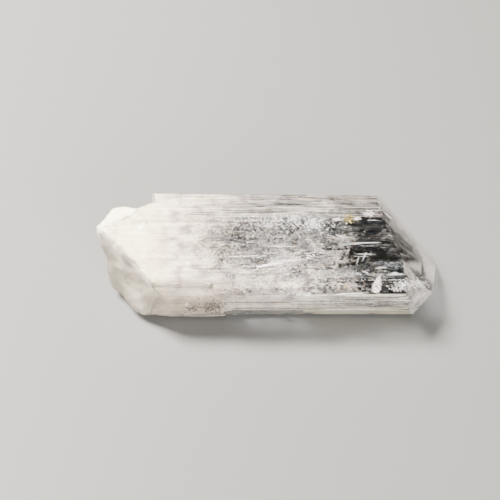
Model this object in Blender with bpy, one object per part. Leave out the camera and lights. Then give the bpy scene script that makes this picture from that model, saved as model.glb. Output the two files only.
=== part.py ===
"""A single crystal of danburite, lying on one of its prism faces.

The prism runs along X and its chisel-shaped tip points to +X. The other end is broken. The crystal is
shaped in millimetres, around its own middle, and seat() turns it into metres at the end. Every natural
face is a lattice plane: it is named by its Miller index and set by its distance from the crystal's axis,
so all the angles between faces follow from the lattice of danburite.
"""

import math
import random

import bmesh
import bpy
from mathutils import Matrix, Vector, noise

MM = 0.001

# Lattice of danburite: the axial ratio a : b : c.
AXIS_A = 0.5444
AXIS_B = 1.0
AXIS_C = 0.4807

# The prism face that the crystal lies on is (-1 -1 0), so the opposite face, (1 1 0), is level on top.
REST_TURN = math.atan2(AXIS_A, AXIS_B)
A_DIRECTION = Vector((0.0, math.sin(REST_TURN), math.cos(REST_TURN)))
B_DIRECTION = Vector((0.0, -math.cos(REST_TURN), math.sin(REST_TURN)))
C_DIRECTION = Vector((1.0, 0.0, 0.0))

# Distance of each face from the middle of the crystal, in millimetres.
TOP = (1, 1, 0)
MAIN = (1, 2, 0)
FRONT = (-1, 2, 0)
UNDERCUT = (-1, 1, 0)
LOW_BEVEL = (-1, 0, 0)
BOTTOM = (-1, -1, 0)
BACK_UNDERCUT = (-1, -2, 0)
BACK = (1, -2, 0)
BACK_SHOULDER = (1, -1, 0)
PRISM = {
    TOP: 4.86,
    MAIN: 3.62,
    FRONT: 7.71,
    UNDERCUT: 7.72,
    LOW_BEVEL: 6.92,
    BOTTOM: 4.86,
    BACK_UNDERCUT: 5.66,
    BACK: 9.15,
    BACK_SHOULDER: 9.19,
}
TIP = {
    (1, 0, 1): 16.92,
    (2, 1, 2): 15.51,
    (1, 1, 1): 14.31,
    (1, 2, 1): 13.51,
    (-1, 2, 1): 17.16,
    (-1, 0, 1): 18.85,
    (-1, -2, 1): 18.60,
    (1, -2, 1): 19.60,
}
BLOCK = 60.0
FACE_TOLERANCE = 1e-3
WELD = 1e-4
BASE_END = -23.4

# Growth ledges: shallow strips along the prism, taken off each long face.
LEDGE_DEPTH = (0.08, 0.22)
LEDGE_WIDTH = (0.25, 0.90)
LEDGE_GAP = (0.20, 0.95)
LEDGE_LENGTH = (9.0, 30.0)
LEDGE_CLEARANCE = 1.5
LEDGE_SEED = 23
PRISM_END = 21.0
STRIATED = {
    "top_ledges": TOP,
    "main_ledges": MAIN,
    "front_ledges": FRONT,
    "undercut_ledges": UNDERCUT,
    "back_undercut_ledges": BACK_UNDERCUT,
    "back_ledges": BACK,
    "back_shoulder_ledges": BACK_SHOULDER,
}

# Broad ledges that stand out: the face, its share of the face across, its reach along X, and its depth.
BROAD_LEDGES = {
    "long_undercut_step": (UNDERCUT, (-0.30, 1.20), (-5.2, 24.0), 0.36),
    "long_bevel_step": (LOW_BEVEL, (-0.60, 1.40), (-5.2, 24.0), 0.27),
    "lower_left_step": (MAIN, (-0.10, 0.115), (-24.0, -6.8), 0.34),
    "middle_step": (MAIN, (0.115, 0.28), (-4.5, 1.6), 0.14),
    "ridge_step": (MAIN, (0.94, 1.10), (9.8, 18.0), 0.16),
    "top_back_step": (TOP, (0.86, 1.10), (-2.0, 24.0), 0.12),
}

# The broken base: each wall is a point on it and the direction it faces, with the depth of its hollow.
WALL_SIZE = 26.0
WALL_CELLS = 34
WALL_REACH = 14.0
FRACTURES = {
    "front_break": ((-16.9, -4.6, 2.2), (-0.755, -0.650, 0.085), 0.35, 0.16),
    "end_break": ((-21.15, 0.8, 0.0), (-0.965, 0.05, -0.255), 0.10, 0.34),
    "back_break": ((-21.2, 3.6, 4.6), (-0.860, 0.500, 0.070), 0.00, 0.40),
    "crown_break": ((-19.2, 3.0, 4.5), (-0.180, 0.100, 0.980), 0.00, 0.22),
    "heel_break": ((-12.6, -5.4, -4.75), (-0.200, -0.200, -0.960), 0.00, 0.22),
}
RELIEF_SCALE = 0.32
FINE_SCALE = 1.10
FINE_SHARE = 0.35

# The notch that is broken out of the upper back edge, beside the base.
NOTCH_CORNER = (-14.75, 5.9, 4.86)
NOTCH_FLOOR_FACES = (-0.17, 0.84, 0.50)
NOTCH_SIZE = (16.0, 12.0, 9.0)
NOTCH_CELLS = 22
NOTCH_RELIEF = 0.26

# Small chips along the two lower front edges: place along X, size along X, depth.
CHIP_EDGE = (-6.10, -4.35)
CHIPS = (
    (-14.6, 2.4, 0.36),
    (-3.9, 1.7, 0.40),
    (2.8, 2.6, 0.40),
    (5.4, 2.4, 0.46),
    (13.8, 1.0, 0.30),
)
CHIP_FLATNESS = 0.45


def face_normal(index):
    """The outward direction of the lattice plane with this Miller index."""
    h, k, l = index
    normal = A_DIRECTION * (h / AXIS_A) + B_DIRECTION * (k / AXIS_B) + C_DIRECTION * (l / AXIS_C)
    return normal.normalized()


def clear_scene():
    for item in list(bpy.data.objects):
        bpy.data.objects.remove(item)


def link_mesh(name, bm):
    """Makes an object of a bmesh, with its faces pointing out."""
    bmesh.ops.recalc_face_normals(bm, faces=bm.faces)
    mesh = bpy.data.meshes.new(name)
    bm.to_mesh(mesh)
    bm.free()
    item = bpy.data.objects.new(name, mesh)
    bpy.context.collection.objects.link(item)
    return item


def cut_plane(bm, point, normal):
    """Takes off all that lies beyond a plane and closes the cut."""
    geometry = bm.verts[:] + bm.edges[:] + bm.faces[:]
    cut = bmesh.ops.bisect_plane(
        bm, geom=geometry, dist=1e-6, plane_co=point, plane_no=normal, clear_outer=True
    )
    rim = [part for part in cut["geom_cut"] if isinstance(part, bmesh.types.BMEdge)]
    bmesh.ops.contextual_create(bm, geom=rim)


def grow_crystal():
    """The whole crystal, bounded by its lattice planes and by a plain end at the base."""
    bm = bmesh.new()
    bmesh.ops.create_cube(bm, size=BLOCK)
    for index, distance in (PRISM | TIP).items():
        normal = face_normal(index)
        cut_plane(bm, normal * distance, normal)
    cut_plane(bm, Vector((BASE_END, 0.0, 0.0)), -C_DIRECTION)
    bmesh.ops.dissolve_degenerate(bm, dist=1e-5, edges=bm.edges)
    return link_mesh("crystal", bm)


def take_off(crystal, cutter):
    """Cuts the crystal with one closed cutter, tidies the new mesh and removes the cutter."""
    modifier = crystal.modifiers.new(cutter.name, "BOOLEAN")
    modifier.operation = "DIFFERENCE"
    modifier.solver = "EXACT"
    modifier.object = cutter
    bpy.context.view_layer.update()
    graph = bpy.context.evaluated_depsgraph_get()
    mesh = bpy.data.meshes.new_from_object(crystal.evaluated_get(graph))
    crystal.modifiers.clear()
    bm = bmesh.new()
    bm.from_mesh(mesh)
    bmesh.ops.remove_doubles(bm, verts=bm.verts, dist=WELD)
    bmesh.ops.dissolve_degenerate(bm, dist=WELD, edges=bm.edges)
    bmesh.ops.triangulate(bm, faces=bm.faces[:])
    bm.to_mesh(mesh)
    bm.free()
    crystal.data = mesh
    bpy.data.objects.remove(cutter)


def face_span(crystal, index):
    """How far a prism face reaches across, measured from the crystal's axis."""
    normal = face_normal(index)
    across = normal.cross(C_DIRECTION)
    places = []
    for vertex in crystal.data.vertices:
        if abs(vertex.co.dot(normal) - PRISM[index]) < FACE_TOLERANCE:
            places.append(vertex.co.dot(across))
    return min(places), max(places)


def add_strip(bm, index, across_range, along_range, depth):
    """One strip-shaped cutter that lies on a prism face and reaches into it by its depth."""
    normal = face_normal(index)
    across = normal.cross(C_DIRECTION)
    low, high = across_range
    start, end = along_range
    thickness = depth + LEDGE_CLEARANCE
    middle = normal * (PRISM[index] - depth + thickness / 2)
    middle += across * (low + high) / 2 + C_DIRECTION * (start + end) / 2
    turn = Matrix((C_DIRECTION, across, normal)).transposed().to_4x4()
    size = Matrix.Diagonal((end - start, high - low, thickness, 1.0))
    bmesh.ops.create_cube(bm, size=1.0, matrix=Matrix.Translation(middle) @ turn @ size)


def broad_ledge_cutter(crystal, name, index, share, along_range, depth):
    """One wide step in a face, which may run past the edges of that face."""
    low, high = face_span(crystal, index)
    across_range = [low + (high - low) * part for part in share]
    bm = bmesh.new()
    add_strip(bm, index, across_range, along_range, depth)
    return link_mesh(name, bm)


def ledge_cutter(crystal, name, index, rng):
    """Strips of many widths, side by side across one face, each with its own depth and ends."""
    low, high = face_span(crystal, index)
    bm = bmesh.new()
    place = low + rng.uniform(*LEDGE_GAP) * 0.4
    while place < high - LEDGE_WIDTH[0]:
        width = min(rng.uniform(*LEDGE_WIDTH), high - place)
        start = rng.uniform(BASE_END, PRISM_END - LEDGE_LENGTH[0])
        end = min(start + rng.uniform(*LEDGE_LENGTH), PRISM_END)
        add_strip(bm, index, (place, place + width), (start, end), rng.uniform(*LEDGE_DEPTH))
        place += width + rng.uniform(*LEDGE_GAP)
    return link_mesh(name, bm)


def relief(place, shift):
    """Lumpy height of a broken surface, between about -1 and 1."""
    broad = noise.noise((place + shift) * RELIEF_SCALE)
    fine = noise.noise((place - shift) * FINE_SCALE)
    return broad + fine * FINE_SHARE


def fracture_cutter(name, point, facing, hollow, roughness):
    """A block whose inner wall is a lumpy, slightly dished break; it takes off all that lies beyond."""
    facing = Vector(facing).normalized()
    shift = Vector((len(name) * 1.7, roughness * 40.0, 3.1))
    bm = bmesh.new()
    bmesh.ops.create_grid(bm, x_segments=WALL_CELLS, y_segments=WALL_CELLS, size=WALL_SIZE / 2)
    for vertex in bm.verts:
        dish = max(0.0, 1.0 - (vertex.co.length / 8.0) ** 2)
        vertex.co.z = roughness * relief(vertex.co.copy(), shift) - hollow * dish
    lifted = bmesh.ops.extrude_face_region(bm, geom=bm.faces[:])
    for part in lifted["geom"]:
        if isinstance(part, bmesh.types.BMVert):
            part.co.z = WALL_REACH
    turn = facing.to_track_quat("Z", "Y").to_matrix().to_4x4()
    bmesh.ops.transform(bm, matrix=Matrix.Translation(Vector(point)) @ turn, verts=bm.verts)
    return link_mesh(name, bm)


def notch_cutter():
    """A block with lumpy walls, set so that one edge of it is the inner corner of the notch."""
    floor = Vector(NOTCH_FLOOR_FACES).normalized()
    wall = C_DIRECTION
    wall = (wall - floor * wall.dot(floor)).normalized()
    depth = floor.cross(wall)
    width, height, reach = NOTCH_SIZE
    bm = bmesh.new()
    bmesh.ops.create_cube(bm, size=1.0)
    bmesh.ops.subdivide_edges(bm, edges=bm.edges[:], cuts=NOTCH_CELLS, use_grid_fill=True)
    for vertex in bm.verts:
        vertex.co = Vector((vertex.co.x * width, vertex.co.y * height, vertex.co.z * reach))
        shift = Vector((relief(vertex.co.copy(), Vector((5.0, 0.0, 0.0))), 0.0, 0.0))
        shift.z = relief(vertex.co.copy(), Vector((0.0, 9.0, 0.0)))
        vertex.co += shift * NOTCH_RELIEF
    middle = Vector(NOTCH_CORNER) - wall * width / 2 + floor * reach / 2
    turn = Matrix((wall, depth, floor)).transposed().to_4x4()
    bmesh.ops.transform(bm, matrix=Matrix.Translation(middle) @ turn, verts=bm.verts)
    return link_mesh("notch", bm)


def chip_cutter():
    """Small bites out of the lower front edge."""
    bm = bmesh.new()
    edge_y, edge_z = CHIP_EDGE
    for along, size, depth in CHIPS:
        flat = Matrix.Diagonal((size / 2, size * CHIP_FLATNESS, size * CHIP_FLATNESS, 1.0))
        away = Vector((0.0, -0.7, -0.7)) * (size * CHIP_FLATNESS - depth)
        middle = Vector((along, edge_y, edge_z)) + away
        bmesh.ops.create_icosphere(
            bm, subdivisions=2, radius=1.0, matrix=Matrix.Translation(middle) @ flat
        )
    return link_mesh("edge_chips", bm)


def glass_material():
    material = bpy.data.materials.new("danburite")
    material.use_nodes = True
    shader = material.node_tree.nodes["Principled BSDF"]
    shader.inputs["Base Color"].default_value = (0.86, 0.83, 0.80, 1.0)
    shader.inputs["Roughness"].default_value = 0.18
    shader.inputs["Metallic"].default_value = 0.0
    shader.inputs["IOR"].default_value = 1.633
    shader.inputs["Transmission Weight"].default_value = 0.6
    return material


def seat(crystal):
    """Turns millimetres into metres and sets the origin at the bottom middle of the crystal's box."""
    places = [vertex.co for vertex in crystal.data.vertices]
    low = Vector([min(place[axis] for place in places) for axis in range(3)])
    high = Vector([max(place[axis] for place in places) for axis in range(3)])
    middle = (low + high) / 2
    crystal.data.transform(Matrix.Scale(MM, 4) @ Matrix.Translation((-middle.x, -middle.y, -low.z)))


def main():
    clear_scene()
    crystal = grow_crystal()
    rng = random.Random(LEDGE_SEED)
    cutters = [broad_ledge_cutter(crystal, name, *values) for name, values in BROAD_LEDGES.items()]
    cutters += [ledge_cutter(crystal, name, index, rng) for name, index in STRIATED.items()]
    cutters += [fracture_cutter(name, *values) for name, values in FRACTURES.items()]
    cutters += [notch_cutter(), chip_cutter()]
    for cutter in cutters:
        take_off(crystal, cutter)
    seat(crystal)
    crystal.data.materials.clear()
    crystal.data.materials.append(glass_material())


main()
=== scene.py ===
"""Dresses a danburite crystal: a clear tip, a veined middle, and a milky, frosted, broken base."""

import math
import random

import bpy
from mathutils import Matrix, Vector, noise
from mathutils.bvhtree import BVHTree


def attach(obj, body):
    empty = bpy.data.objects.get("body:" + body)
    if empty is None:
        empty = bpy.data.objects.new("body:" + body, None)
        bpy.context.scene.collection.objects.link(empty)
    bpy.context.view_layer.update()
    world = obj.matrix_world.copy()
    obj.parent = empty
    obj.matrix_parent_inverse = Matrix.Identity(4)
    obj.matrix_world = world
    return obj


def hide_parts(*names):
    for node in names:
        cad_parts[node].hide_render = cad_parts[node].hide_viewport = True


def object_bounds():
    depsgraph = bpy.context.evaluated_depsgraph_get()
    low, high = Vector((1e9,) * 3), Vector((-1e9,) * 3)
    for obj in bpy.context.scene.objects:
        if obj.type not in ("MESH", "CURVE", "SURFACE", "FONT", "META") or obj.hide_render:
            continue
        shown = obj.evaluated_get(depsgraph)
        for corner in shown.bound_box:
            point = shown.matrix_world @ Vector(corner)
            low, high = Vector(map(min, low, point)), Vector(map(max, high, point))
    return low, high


# Sizes and places are in millimetres where MM turns them into metres. Pixels are those of the camera's view.
MM = 0.001
REFRACTION = 1.633

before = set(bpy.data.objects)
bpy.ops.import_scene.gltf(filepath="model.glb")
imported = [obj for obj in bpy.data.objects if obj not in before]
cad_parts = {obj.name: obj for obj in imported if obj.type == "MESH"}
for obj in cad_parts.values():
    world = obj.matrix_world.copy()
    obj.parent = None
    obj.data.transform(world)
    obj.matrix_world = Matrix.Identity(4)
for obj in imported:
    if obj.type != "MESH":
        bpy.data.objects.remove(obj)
cad_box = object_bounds()
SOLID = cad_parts["crystal"]


def surface_of(item):
    """A piece's faces, ready to be searched for the nearest place."""
    places = [vertex.co for vertex in item.data.vertices]
    return BVHTree.FromPolygons(places, [tuple(polygon.vertices) for polygon in item.data.polygons])


SURFACE = surface_of(SOLID)

# The camera looks at the broad sloping face from the front, down at 40 degrees, with the tip a little away.
CAMERA_ELEVATION = math.radians(40.0)
CAMERA_YAW = math.radians(4.0)
CAMERA_ROLL = math.radians(2.75)
CAMERA_DISTANCE = 150.0 * MM
CAMERA_TARGET = Vector((-0.783, -0.531, 4.40)) * MM
TARGET_PIXEL = (265.0, 260.0)
FOCAL_PIXELS = 1134.0
FRAME_PIXELS = 500.0
SENSOR_WIDTH = 36.0
NEAREST_SHOWN = 10.0 * MM


def camera_axes():
    """The camera's right, up and forward directions."""
    level = math.cos(CAMERA_ELEVATION)
    drop = math.sin(CAMERA_ELEVATION)
    forward = Vector((math.sin(CAMERA_YAW) * level, math.cos(CAMERA_YAW) * level, -drop))
    flat_right = Vector((math.cos(CAMERA_YAW), -math.sin(CAMERA_YAW), 0.0))
    flat_up = flat_right.cross(forward)
    right = flat_right * math.cos(CAMERA_ROLL) + flat_up * math.sin(CAMERA_ROLL)
    up = flat_up * math.cos(CAMERA_ROLL) - flat_right * math.sin(CAMERA_ROLL)
    return right, up, forward


def add_object(name, data):
    """Puts a new object that holds this data into the scene."""
    item = bpy.data.objects.new(name, data)
    bpy.context.collection.objects.link(item)
    return item


def place_camera():
    """Sets the camera up, so that its target shows at the target's pixel."""
    data = bpy.data.cameras.new("camera")
    data.sensor_width = SENSOR_WIDTH
    data.lens = FOCAL_PIXELS / FRAME_PIXELS * data.sensor_width
    data.shift_x = (FRAME_PIXELS / 2 - TARGET_PIXEL[0]) / FRAME_PIXELS
    data.shift_y = (TARGET_PIXEL[1] - FRAME_PIXELS / 2) / FRAME_PIXELS
    data.clip_start = NEAREST_SHOWN
    camera = add_object("camera", data)
    right, up, forward = camera_axes()
    turn = Matrix((right, up, -forward)).transposed().to_4x4()
    camera.matrix_world = Matrix.Translation(CAMERA_TARGET - forward * CAMERA_DISTANCE) @ turn
    bpy.context.scene.camera = camera


def bend(direction, normal, ratio):
    """The direction of a ray after it enters the crystal."""
    cosine = -direction.dot(normal)
    inside = 1.0 - ratio * ratio * (1.0 - cosine * cosine)
    return direction * ratio + normal * (ratio * cosine - math.sqrt(inside))


def beneath(pixel, depth):
    """The point that shows at a pixel from the camera, this many millimetres in behind the surface."""
    right, up, forward = camera_axes()
    eye = CAMERA_TARGET - forward * CAMERA_DISTANCE
    across = (pixel[0] - TARGET_PIXEL[0]) / FOCAL_PIXELS
    down = (pixel[1] - TARGET_PIXEL[1]) / FOCAL_PIXELS
    ray = (forward + right * across - up * down).normalized()
    place, normal, _, _ = SURFACE.ray_cast(eye, ray)
    if place is None:
        return None
    return place + bend(ray, normal, 1.0 / REFRACTION) * depth * MM


def seen_at(place):
    """The pixel at which a point shows from the camera."""
    right, up, forward = camera_axes()
    ray = place - CAMERA_TARGET + forward * CAMERA_DISTANCE
    scale = FOCAL_PIXELS / ray.dot(forward)
    return TARGET_PIXEL[0] + ray.dot(right) * scale, TARGET_PIXEL[1] - ray.dot(up) * scale


def depth_of(place):
    """How deep a point lies inside the crystal, in metres; below zero outside it."""
    nearest, normal, _, distance = SURFACE.find_nearest(place)
    return distance if (nearest - place).dot(normal) > 0.0 else -distance


def sink_below(item, surface, depth):
    """Moves a piece's points in until each lies at least this many metres below a surface."""
    for vertex in item.data.vertices:
        nearest, normal, _, _ = surface.find_nearest(vertex.co)
        missing = depth - (nearest - vertex.co).dot(normal)
        if missing > 0.0:
            vertex.co -= normal * missing


def rise(value, start, end):
    """How far a value has come from a start to an end: 0 up to the start, and 1 from the end on."""
    return max(0.0, min(1.0, (value - start) / (end - start)))


def blend(one, other, share):
    """Goes from one look to another by a share."""
    return tuple(low + (high - low) * share for low, high in zip(one, other))


def along(stops, place):
    """Reads the look at a place off a line of stops, each a place and the look there."""
    for (left, low), (right, high) in zip(stops, stops[1:]):
        if place <= right:
            return blend(low, high, rise(place, left, right))
    return stops[-1][1]


def uneven(place, fineness, amount):
    """A soft unevenness at a place in millimetres, with waves of a fineness and up to an amount."""
    return noise.noise(place * fineness) * amount


def deselect_all():
    """Leaves nothing selected."""
    for item in bpy.context.selected_objects:
        item.select_set(False)


def make_active(item):
    """Selects one piece alone, so that operators act on it."""
    deselect_all()
    item.select_set(True)
    bpy.context.view_layer.objects.active = item


def copy_of(piece, name):
    """A copy of a piece's mesh, without its materials, as a piece of its own."""
    item = add_object(name, piece.data.copy())
    item.data.materials.clear()
    make_active(item)
    return item


def finish_piece(item, *materials):
    """Gives a piece its materials and ties it to the crystal's body."""
    for material in materials:
        item.data.materials.append(material)
    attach(item, "root")


# ---------------------------------------------------------------- materials


def new_material(name):
    """A material, its node tree and its shader."""
    material = bpy.data.materials.new(name)
    material.use_nodes = True
    return material, material.node_tree, material.node_tree.nodes["Principled BSDF"]


def new_group(name, output, **inputs):
    """A shader node group with number inputs and one number output, and its two end nodes."""
    group = bpy.data.node_groups.new(name, "ShaderNodeTree")
    for label, value in inputs.items():
        label = label.replace("_", " ").title()
        socket = group.interface.new_socket(label, in_out="INPUT", socket_type="NodeSocketFloat")
        socket.default_value = value
    group.interface.new_socket(output, in_out="OUTPUT", socket_type="NodeSocketFloat")
    return group, group.nodes.new("NodeGroupInput"), group.nodes.new("NodeGroupOutput")


def add_group_node(tree, group, **values):
    """Places a group in a material with its own values, and gives what it puts out."""
    node = tree.nodes.new("ShaderNodeGroup")
    node.node_tree = group
    for label, value in values.items():
        node.inputs[label.replace("_", " ").title()].default_value = value
    return node.outputs[0]


def feed(tree, value, socket):
    """Sets a socket to a number or a colour, or links it to what another node puts out."""
    if isinstance(value, float):
        socket.default_value = value
    elif isinstance(value, tuple):
        socket.default_value = (*value, 1.0)
    else:
        tree.links.new(value, socket)


def add_noise(tree, scale, detail=3.0):
    """Noise over the piece's own places, in waves per metre."""
    place = tree.nodes.new("ShaderNodeTexCoord")
    grain = tree.nodes.new("ShaderNodeTexNoise")
    grain.inputs["Detail"].default_value = detail
    feed(tree, scale, grain.inputs["Scale"])
    tree.links.new(place.outputs["Object"], grain.inputs["Vector"])
    return grain.outputs["Fac"]


def add_attribute(tree, name):
    """Reads a value that is stored on the piece's points."""
    attribute = tree.nodes.new("ShaderNodeAttribute")
    attribute.attribute_name = name
    return attribute.outputs["Fac"]


def add_math(tree, operation, *values):
    """One sum over numbers and what other nodes put out."""
    math_node = tree.nodes.new("ShaderNodeMath")
    math_node.operation = operation
    for socket, value in zip(math_node.inputs, values):
        feed(tree, value, socket)
    return math_node.outputs["Value"]


def add_mix(tree, kind, factor, one, other):
    """Mixes two colours by a factor."""
    mix = tree.nodes.new("ShaderNodeMix")
    mix.data_type = "RGBA"
    mix.blend_type = kind
    feed(tree, factor, mix.inputs["Factor"])
    feed(tree, one, mix.inputs["A"])
    feed(tree, other, mix.inputs["B"])
    return mix.outputs["Result"]


def add_ramp(tree, source, stops, target=None):
    """A colour ramp over a value, linked to a target; each stop is a place and a grey or a colour."""
    ramp = tree.nodes.new("ShaderNodeValToRGB")
    points = ramp.color_ramp.elements
    while len(points) < len(stops):
        points.new(0.5)
    for point, (place, colour) in zip(points, stops):
        point.position = place
        point.color = (*colour, 1.0) if isinstance(colour, tuple) else (colour, colour, colour, 1.0)
    tree.links.new(source, ramp.inputs["Fac"])
    if target is not None:
        tree.links.new(ramp.outputs["Color"], target)
    return ramp.outputs["Color"]


def add_fade(tree, places, values):
    """A value that fades along the prism, between two places in millimetres."""
    place = tree.nodes.new("ShaderNodeTexCoord")
    split = tree.nodes.new("ShaderNodeSeparateXYZ")
    fade = tree.nodes.new("ShaderNodeMapRange")
    tree.links.new(place.outputs["Object"], split.inputs["Vector"])
    tree.links.new(split.outputs["X"], fade.inputs["Value"])
    fade.inputs["From Min"].default_value = places[0] * MM
    fade.inputs["From Max"].default_value = places[1] * MM
    fade.inputs["To Min"].default_value = values[0]
    fade.inputs["To Max"].default_value = values[1]
    return fade.outputs["Result"]


def add_bump(tree, shader, height, depth):
    """Fine relief, this many millimetres deep."""
    bump = tree.nodes.new("ShaderNodeBump")
    bump.inputs["Distance"].default_value = depth * MM
    tree.links.new(height, bump.inputs["Height"])
    tree.links.new(bump.outputs["Normal"], shader.inputs["Normal"])


def patchy(name, roughness, scale, detail, one, other, places=(0.35, 0.65)):
    """A material whose colour goes from patch to patch between two tints, with its tree and its shader."""
    material, tree, shader = new_material(name)
    shader.inputs["Roughness"].default_value = roughness
    stops = ((places[0], one), (places[1], other))
    add_ramp(tree, add_noise(tree, scale, detail), stops, shader.inputs["Base Color"])
    return material, tree, shader


def growth_lines_group():
    """Fine growth lines, from noise that is drawn out along the prism or across it."""
    tree, entry, way_out = new_group("growth lines", "Height", fineness=5000.0, stretch=0.03, across=1.0)
    place = tree.nodes.new("ShaderNodeTexCoord")
    split = tree.nodes.new("ShaderNodeSeparateXYZ")
    join = tree.nodes.new("ShaderNodeCombineXYZ")
    lines = tree.nodes.new("ShaderNodeTexNoise")
    lines.inputs["Detail"].default_value = 5.0
    lines.inputs["Roughness"].default_value = 0.65
    tree.links.new(place.outputs["Object"], split.inputs["Vector"])
    for axis, amount in (("X", "Stretch"), ("Y", "Across")):
        drawn_out = add_math(tree, "MULTIPLY", split.outputs[axis], entry.outputs[amount])
        tree.links.new(drawn_out, join.inputs[axis])
    tree.links.new(split.outputs["Z"], join.inputs["Z"])
    tree.links.new(join.outputs["Vector"], lines.inputs["Vector"])
    tree.links.new(entry.outputs["Fineness"], lines.inputs["Scale"])
    tree.links.new(lines.outputs["Fac"], way_out.inputs["Height"])
    return tree


def wisp_group(growth_lines):
    """How solid a film is: its own solidity, broken up by patches or by fine lines along the prism."""
    tree, entry, way_out = new_group("wisps", "Alpha", patch_size=2400.0, spread=4.0)
    patches = add_noise(tree, entry.outputs["Patch Size"], 8.0)
    patches.node.inputs["Roughness"].default_value = 0.75
    patches.node.inputs["Distortion"].default_value = 0.4
    pattern = tree.nodes.new("ShaderNodeMix")
    tree.links.new(add_attribute(tree, "streaks"), pattern.inputs["Factor"])
    tree.links.new(patches, pattern.inputs["A"])
    tree.links.new(add_group_node(tree, growth_lines, fineness=4200.0, stretch=0.04), pattern.inputs["B"])
    centred = add_math(tree, "SUBTRACT", pattern.outputs["Result"], 0.5)
    spread = add_math(tree, "MULTIPLY", centred, entry.outputs["Spread"])
    broken = add_math(tree, "MULTIPLY", spread, add_attribute(tree, "brokenness"))
    widened = add_math(tree, "MULTIPLY_ADD", add_attribute(tree, "solidity"), 1.4, -0.2)
    total = add_math(tree, "ADD", widened, broken)
    total.node.use_clamp = True
    tree.links.new(total, way_out.inputs["Alpha"])
    return tree


# The share of lamplight that a face lets in from above, and lets out below.
UPPER_SHARE = 0.97
LOWER_SHARE = 0.10
# The faint grey of deep danburite, and how dense it is.
DEPTH_GREY = (0.34, 0.39, 0.43)
DEPTH_DENSITY = 120.0


def glass(name, lamp_share):
    """Clear danburite: plain transmission, a grey depth, and lamps that reach what lies inside it."""
    material, tree, shader = new_material(name)
    shader.inputs["IOR"].default_value = REFRACTION
    shader.inputs["Transmission Weight"].default_value = 1.0
    path = tree.nodes.new("ShaderNodeLightPath")
    through = tree.nodes.new("ShaderNodeBsdfTransparent")
    mix = tree.nodes.new("ShaderNodeMixShader")
    depth = tree.nodes.new("ShaderNodeVolumeAbsorption")
    through.inputs["Color"].default_value = (lamp_share, lamp_share, lamp_share, 1.0)
    depth.inputs["Color"].default_value = (*DEPTH_GREY, 1.0)
    depth.inputs["Density"].default_value = DEPTH_DENSITY
    tree.links.new(path.outputs["Is Shadow Ray"], mix.inputs["Fac"])
    tree.links.new(shader.outputs["BSDF"], mix.inputs[1])
    tree.links.new(through.outputs["BSDF"], mix.inputs[2])
    tree.links.new(mix.outputs["Shader"], tree.nodes["Material Output"].inputs["Surface"])
    tree.links.new(depth.outputs["Volume"], tree.nodes["Material Output"].inputs["Volume"])
    return material, tree, shader


# The prism's faces turn from dull to clear, and lose their scuffs, between two places along the prism.
DULL_REACH = (-12.0, -6.0)
DULLNESS = (0.26, 0.0)
SCUFF_REACH = (-10.0, -1.0)
SCUFF_SHARE = (1.0, 0.12)
# The tints of growth lines and scuffs.
LINE_TINTS = ((0.40, (0.60, 0.58, 0.60)), (0.54, 1.0))
SCUFF_TINTS = ((0.36, (0.66, 0.62, 0.66)), (0.47, (0.93, 0.89, 0.83)), (0.60, 1.0))
# How deep the fine relief is, in millimetres: growth lines, the tip's ripples, the break's grain, the milk.
LINE_DEPTH = 0.018
RIPPLE_DEPTH = 0.02
GRAIN_DEPTH = 0.05
MILK_RELIEF = 0.25


def clear_faces(name, growth_lines, lamp_share):
    """Glassy prism faces with growth lines along them, duller and more scuffed towards the broken base."""
    material, tree, shader = glass(name, lamp_share)
    lines = add_group_node(tree, growth_lines, fineness=4200.0, stretch=0.022)
    dull = add_fade(tree, DULL_REACH, DULLNESS)
    smudges = add_ramp(tree, add_noise(tree, 420.0), ((0.45, 0.0), (0.75, 0.05)))
    tree.links.new(add_math(tree, "ADD", dull, smudges), shader.inputs["Roughness"])
    scuffed = add_fade(tree, SCUFF_REACH, SCUFF_SHARE)
    lined = add_ramp(tree, lines, LINE_TINTS)
    scuffs = add_ramp(tree, add_noise(tree, 1300.0, 6.0), SCUFF_TINTS)
    tree.links.new(add_mix(tree, "MULTIPLY", scuffed, lined, scuffs), shader.inputs["Base Color"])
    add_bump(tree, shader, lines, LINE_DEPTH)
    return material


def smooth_tip():
    """The tip's faces are brighter and smoother than the prism's."""
    material, tree, shader = glass("smooth tip", UPPER_SHARE)
    ripple = add_noise(tree, 700.0, 2.0)
    add_ramp(tree, ripple, ((0.4, 0.01), (0.8, 0.06)), shader.inputs["Roughness"])
    add_ramp(tree, ripple, ((0.3, (0.95, 0.95, 0.96)), (0.7, 1.0)), shader.inputs["Base Color"])
    add_bump(tree, shader, ripple, RIPPLE_DEPTH)
    return material


def frosted_break():
    """The matt, grainy surface of the broken base."""
    material, tree, shader = glass("frosted break", UPPER_SHARE)
    clouds = add_noise(tree, 900.0, 6.0)
    add_ramp(tree, clouds, ((0.3, 0.42), (0.7, 0.65)), shader.inputs["Roughness"])
    add_ramp(tree, clouds, ((0.38, (0.84, 0.82, 0.79)), (0.6, 1.0)), shader.inputs["Base Color"])
    add_bump(tree, shader, add_noise(tree, 5200.0, 5.0), GRAIN_DEPTH)
    return material


# The milk's own tints, and what it turns where painted shade greys it, painted light whitens it, or beige
# with painted shade darkens it.
MILK_STREAKS = ((0.36, (0.72, 0.66, 0.62)), (0.6, (0.95, 0.88, 0.76)))
MILK_MOTTLE = ((0.38, (0.56, 0.53, 0.58)), (0.50, (0.92, 0.88, 0.84)), (0.60, 1.0))
MILK_SHADE_GREY = (0.58, 0.60, 0.63)
MILK_LIGHT = (1.0, 0.93, 0.70)
MILK_BEIGE_SHADE = (0.375, 0.335, 0.268)
# How far light spreads in the milk, in millimetres, and the share of it for red, green and blue.
MILK_DEPTH = 0.6
MILK_SPREAD = (1.0, 0.85, 0.7)


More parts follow.
